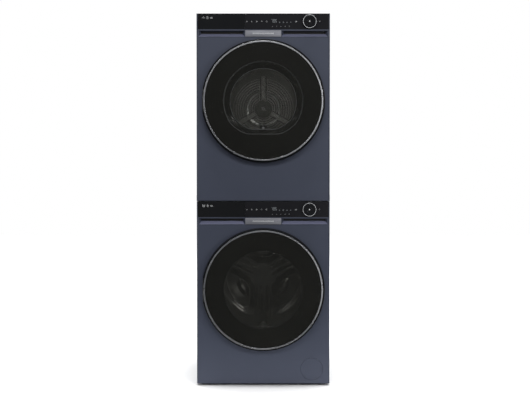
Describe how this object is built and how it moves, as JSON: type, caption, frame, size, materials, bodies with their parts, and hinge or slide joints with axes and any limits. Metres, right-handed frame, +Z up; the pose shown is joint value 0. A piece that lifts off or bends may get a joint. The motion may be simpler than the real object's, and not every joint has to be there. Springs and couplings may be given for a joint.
{
  "type": "washer dryer stack",
  "caption": "Front-loading washing machine with a matching heat pump tumble dryer stacked on it, both with round glass doors, black control fascias and turning dials.",
  "frame": {"origin": "on the floor, under the middle of the bounding box", "axes": "+Z up, the doors face -Y, +X to the right when facing the doors"},
  "size_m": [0.604, 0.6, 1.68],
  "materials": {
    "blue_painted_steel": "satin",
    "blue_painted_plastic": "satin",
    "blue_laminate_board": "satin",
    "black_gloss": "gloss",
    "black_plastic": "matte",
    "satin_silver": "satin",
    "grey_metal": "brushed",
    "tinted_glass": "gloss",
    "clear_glass": "gloss",
    "stainless_steel": "brushed",
    "grey_rubber": "matte",
    "grey_plastic": "satin",
    "white_plastic": "satin",
    "zinc_plated_steel": "satin",
    "cast_metal": "rough",
    "aluminium": "satin"
  },
  "bodies": {
    "stack": {"washer_cabinet": "blue_painted_steel", "washer_worktop": "blue_laminate_board", "washer_base": "black_plastic", "washer_front_panel": "blue_painted_steel", "washer_panel_carrier": "blue_painted_plastic", "washer_control_panel": "black_gloss", "washer_trim_plate": "grey_metal", "washer_hinge_bracket": "zinc_plated_steel", "dryer_cabinet": "blue_painted_steel", "dryer_worktop": "blue_laminate_board", "dryer_base": "black_plastic", "dryer_front_panel": "blue_painted_steel", "dryer_panel_carrier": "blue_painted_plastic", "dryer_control_panel": "black_gloss", "dryer_trim_plate": "grey_metal", "dryer_hinge_bracket": "zinc_plated_steel", "washer_dispenser_box": "white_plastic", "washer_gasket": "grey_rubber", "washer_tub": "white_plastic", "washer_stator": "aluminium", "washer_counterweight": "cast_metal", "washer_drain_pump": "white_plastic", "washer_rear_cover": "zinc_plated_steel", "dryer_belt": "grey_rubber", "dryer_motor": "cast_metal", "dryer_compressor": "cast_metal", "dryer_heat_exchanger": "aluminium", "dryer_bulkhead": "black_plastic", "stacking_frame": "zinc_plated_steel"},
    "washer_door": {"washer_door_frame": "black_plastic", "washer_door_ring": "satin_silver", "washer_door_glass": "tinted_glass", "washer_hinge_leaf": "zinc_plated_steel", "washer_door_hook": "zinc_plated_steel", "washer_door_bowl": "clear_glass"},
    "washer_dial": {"washer_dial": "black_gloss"},
    "washer_start_button": {"washer_start_button": "black_gloss"},
    "dryer_door": {"dryer_door_frame": "black_plastic", "dryer_door_ring": "satin_silver", "dryer_door_glass": "tinted_glass", "dryer_hinge_leaf": "zinc_plated_steel", "dryer_door_hook": "zinc_plated_steel", "dryer_door_window": "clear_glass"},
    "dryer_dial": {"dryer_dial": "black_gloss"},
    "dryer_start_button": {"dryer_start_button": "black_gloss"},
    "washer_drawer": {"washer_drawer_front": "black_gloss", "washer_drawer_tray": "grey_plastic"},
    "dryer_tank": {"dryer_tank_front": "black_gloss", "dryer_water_tank": "white_plastic"},
    "washer_drum": {"washer_drum": "stainless_steel", "washer_rotor": "zinc_plated_steel"},
    "dryer_drum": {"dryer_drum": "stainless_steel"},
    "dryer_fan_shaft": {"dryer_fan_shaft": "zinc_plated_steel"},
    "washer_filter_hatch": {"washer_filter_hatch": "blue_painted_plastic"},
    "washer_filter_cap": {"washer_filter_cap": "grey_plastic"},
    "dryer_lint_filter": {"dryer_lint_filter": "grey_plastic"},
    "washer_foot_1": {"washer_foot_1": "grey_rubber"},
    "washer_foot_2": {"washer_foot_2": "grey_rubber"},
    "washer_foot_3": {"washer_foot_3": "grey_rubber"},
    "washer_foot_4": {"washer_foot_4": "grey_rubber"}
  },
  "joints": [
    {"name": "washer_door_hinge", "type": "hinge", "parent": "stack", "child": "washer_door", "pos_m": [-0.268, -0.2745, 0.44], "axis": [0, 0, -1], "range_deg": [0, 145]},
    {"name": "washer_dial_turn", "type": "hinge", "parent": "stack", "child": "washer_dial", "pos_m": [0.2083, -0.255, 0.7993], "axis": [0, 1, 0], "continuous": true},
    {"name": "washer_start_press", "type": "slide", "parent": "stack", "child": "washer_start_button", "axis": [0, 1, 0], "range_m": [0, 0.0015], "stiffness_N_per_m": 300},
    {"name": "dryer_door_hinge", "type": "hinge", "parent": "stack", "child": "dryer_door", "pos_m": [-0.268, -0.2745, 1.286], "axis": [0, 0, -1], "range_deg": [0, 145]},
    {"name": "dryer_dial_turn", "type": "hinge", "parent": "stack", "child": "dryer_dial", "pos_m": [0.2083, -0.255, 1.6433], "axis": [0, 1, 0], "continuous": true},
    {"name": "dryer_start_press", "type": "slide", "parent": "stack", "child": "dryer_start_button", "axis": [0, 1, 0], "range_m": [0, 0.0015], "stiffness_N_per_m": 300},
    {"name": "washer_drawer_slide", "type": "slide", "parent": "stack", "child": "washer_drawer", "axis": [0, -1, 0], "range_m": [0, 0.24]},
    {"name": "dryer_tank_slide", "type": "slide", "parent": "stack", "child": "dryer_tank", "axis": [0, -1, 0], "range_m": [0, 0.4]},
    {"name": "washer_drum_spin", "type": "hinge", "parent": "stack", "child": "washer_drum", "pos_m": [0, 0, 0.44], "axis": [0, 1, 0], "continuous": true},
    {"name": "dryer_drum_spin", "type": "hinge", "parent": "stack", "child": "dryer_drum", "pos_m": [0, 0, 1.286], "axis": [0, 1, 0], "continuous": true},
    {"name": "dryer_fan_spin", "type": "hinge", "parent": "stack", "child": "dryer_fan_shaft", "pos_m": [0.2, 0.05, 0.903], "axis": [0, 1, 0], "continuous": true},
    {"name": "washer_hatch_hinge", "type": "hinge", "parent": "stack", "child": "washer_filter_hatch", "pos_m": [0.1751, -0.255, 0.076], "axis": [0, 0, -1], "range_deg": [0, 100]},
    {"name": "washer_filter_turn", "type": "hinge", "parent": "stack", "child": "washer_filter_cap", "pos_m": [0.2196, -0.22, 0.076], "axis": [0, 1, 0], "range_deg": [0, 90]},
    {"name": "dryer_lint_filter_lift", "type": "slide", "parent": "stack", "child": "dryer_lint_filter", "axis": [0, 0, 1], "range_m": [0, 0.085]},
    {"name": "washer_foot_1_level", "type": "slide", "parent": "stack", "child": "washer_foot_1", "axis": [0, 0, -1], "range_m": [0, 0.012]},
    {"name": "washer_foot_2_level", "type": "slide", "parent": "stack", "child": "washer_foot_2", "axis": [0, 0, -1], "range_m": [0, 0.012]},
    {"name": "washer_foot_3_level", "type": "slide", "parent": "stack", "child": "washer_foot_3", "axis": [0, 0, -1], "range_m": [0, 0.012]},
    {"name": "washer_foot_4_level", "type": "slide", "parent": "stack", "child": "washer_foot_4", "axis": [0, 0, -1], "range_m": [0, 0.012]}
  ],
  "couplings": [
    {"joint": "dryer_fan_spin", "follows": "dryer_drum_spin", "ratio": 24.6}
  ]
}
